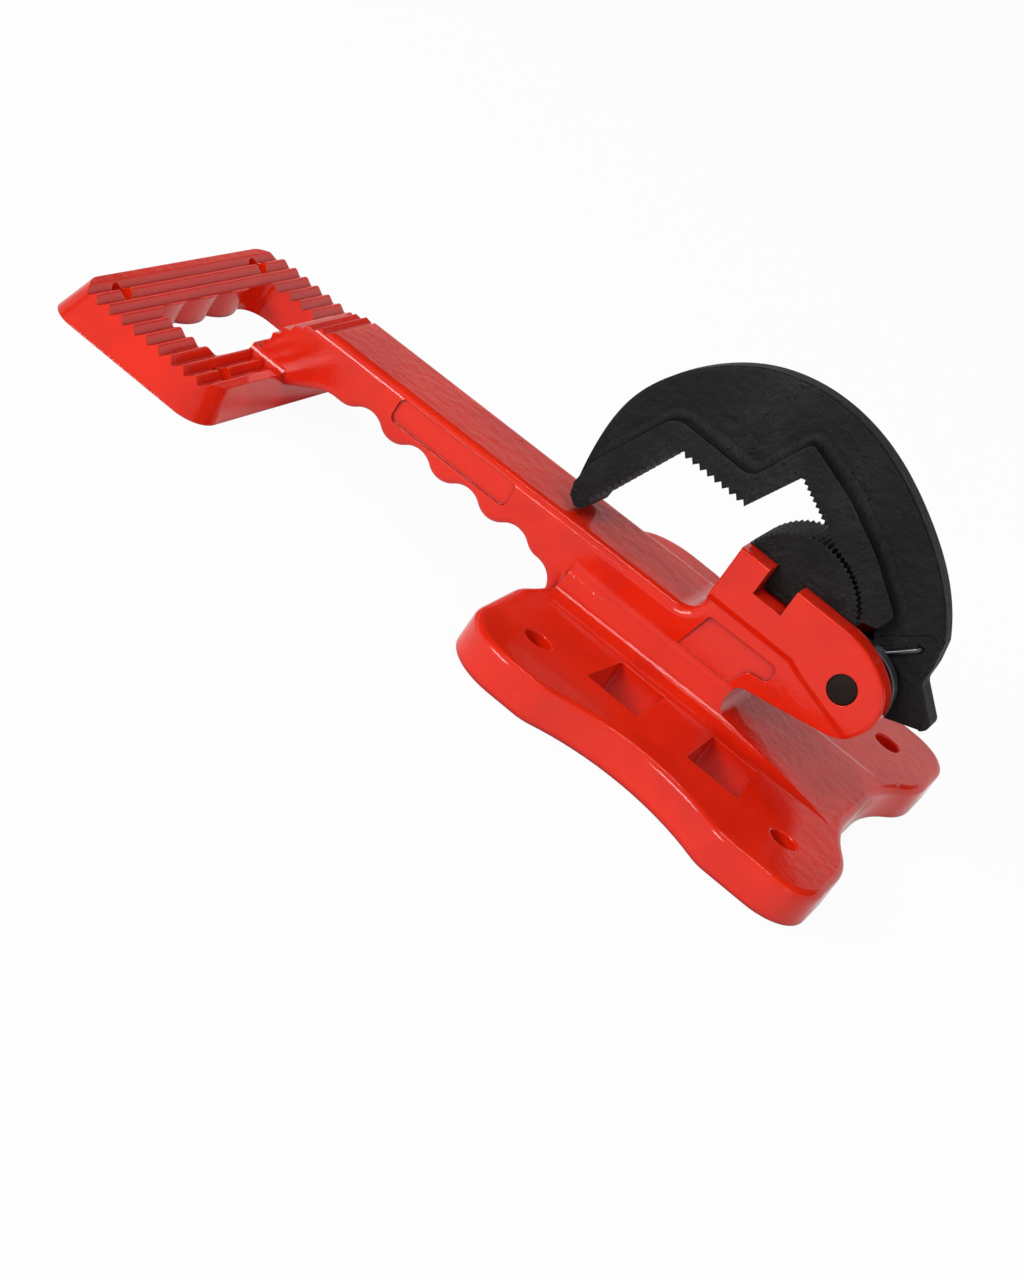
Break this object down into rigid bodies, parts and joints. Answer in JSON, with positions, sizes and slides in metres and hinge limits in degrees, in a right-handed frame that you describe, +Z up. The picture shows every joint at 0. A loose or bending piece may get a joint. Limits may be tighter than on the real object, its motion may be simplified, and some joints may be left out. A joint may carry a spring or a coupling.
{
  "type": "pipe vise",
  "caption": "Pipe vise on a cast bench base: a spring-returned toothed hook jaw swings down over a toothed heel jaw; a ridged foot plate carries the arm's far end.",
  "frame": {"origin": "centre of the base's four bolt holes, on the base's flat underside", "axes": "+X from the foot plate along the arm towards the jaws' pivot, +Y along the pivot pin away from the spring, +Z up"},
  "size_m": [0.38, 0.219, 0.1426],
  "materials": {
    "enamel": "glossy red enamel over cast iron",
    "forged_jaw": "black, forged and shot-blasted",
    "heel_steel": "black oxide, slightly shiny teeth",
    "pin_steel": "dark oiled steel",
    "spring_wire": "oiled spring wire",
    "screw_steel": "black oxide"
  },
  "bodies": {
    "vise": {"frame": "enamel", "heel_jaw": "heel_steel", "pivot_pin": "pin_steel", "hook_spring": "spring_wire", "heel_screw": "screw_steel", "heel_washer": "screw_steel"},
    "hook": {"hook_jaw": "forged_jaw"}
  },
  "joints": [
    {"name": "hook_hinge", "type": "hinge", "parent": "vise", "child": "hook", "pos_m": [0.0392, 0, 0.0588], "axis": [0, 1, 0], "range_deg": [0, 110], "stiffness_Nm_per_rad": 0.5, "springref_deg": -34.38, "deforming": ["hook_spring"]}
  ]
}
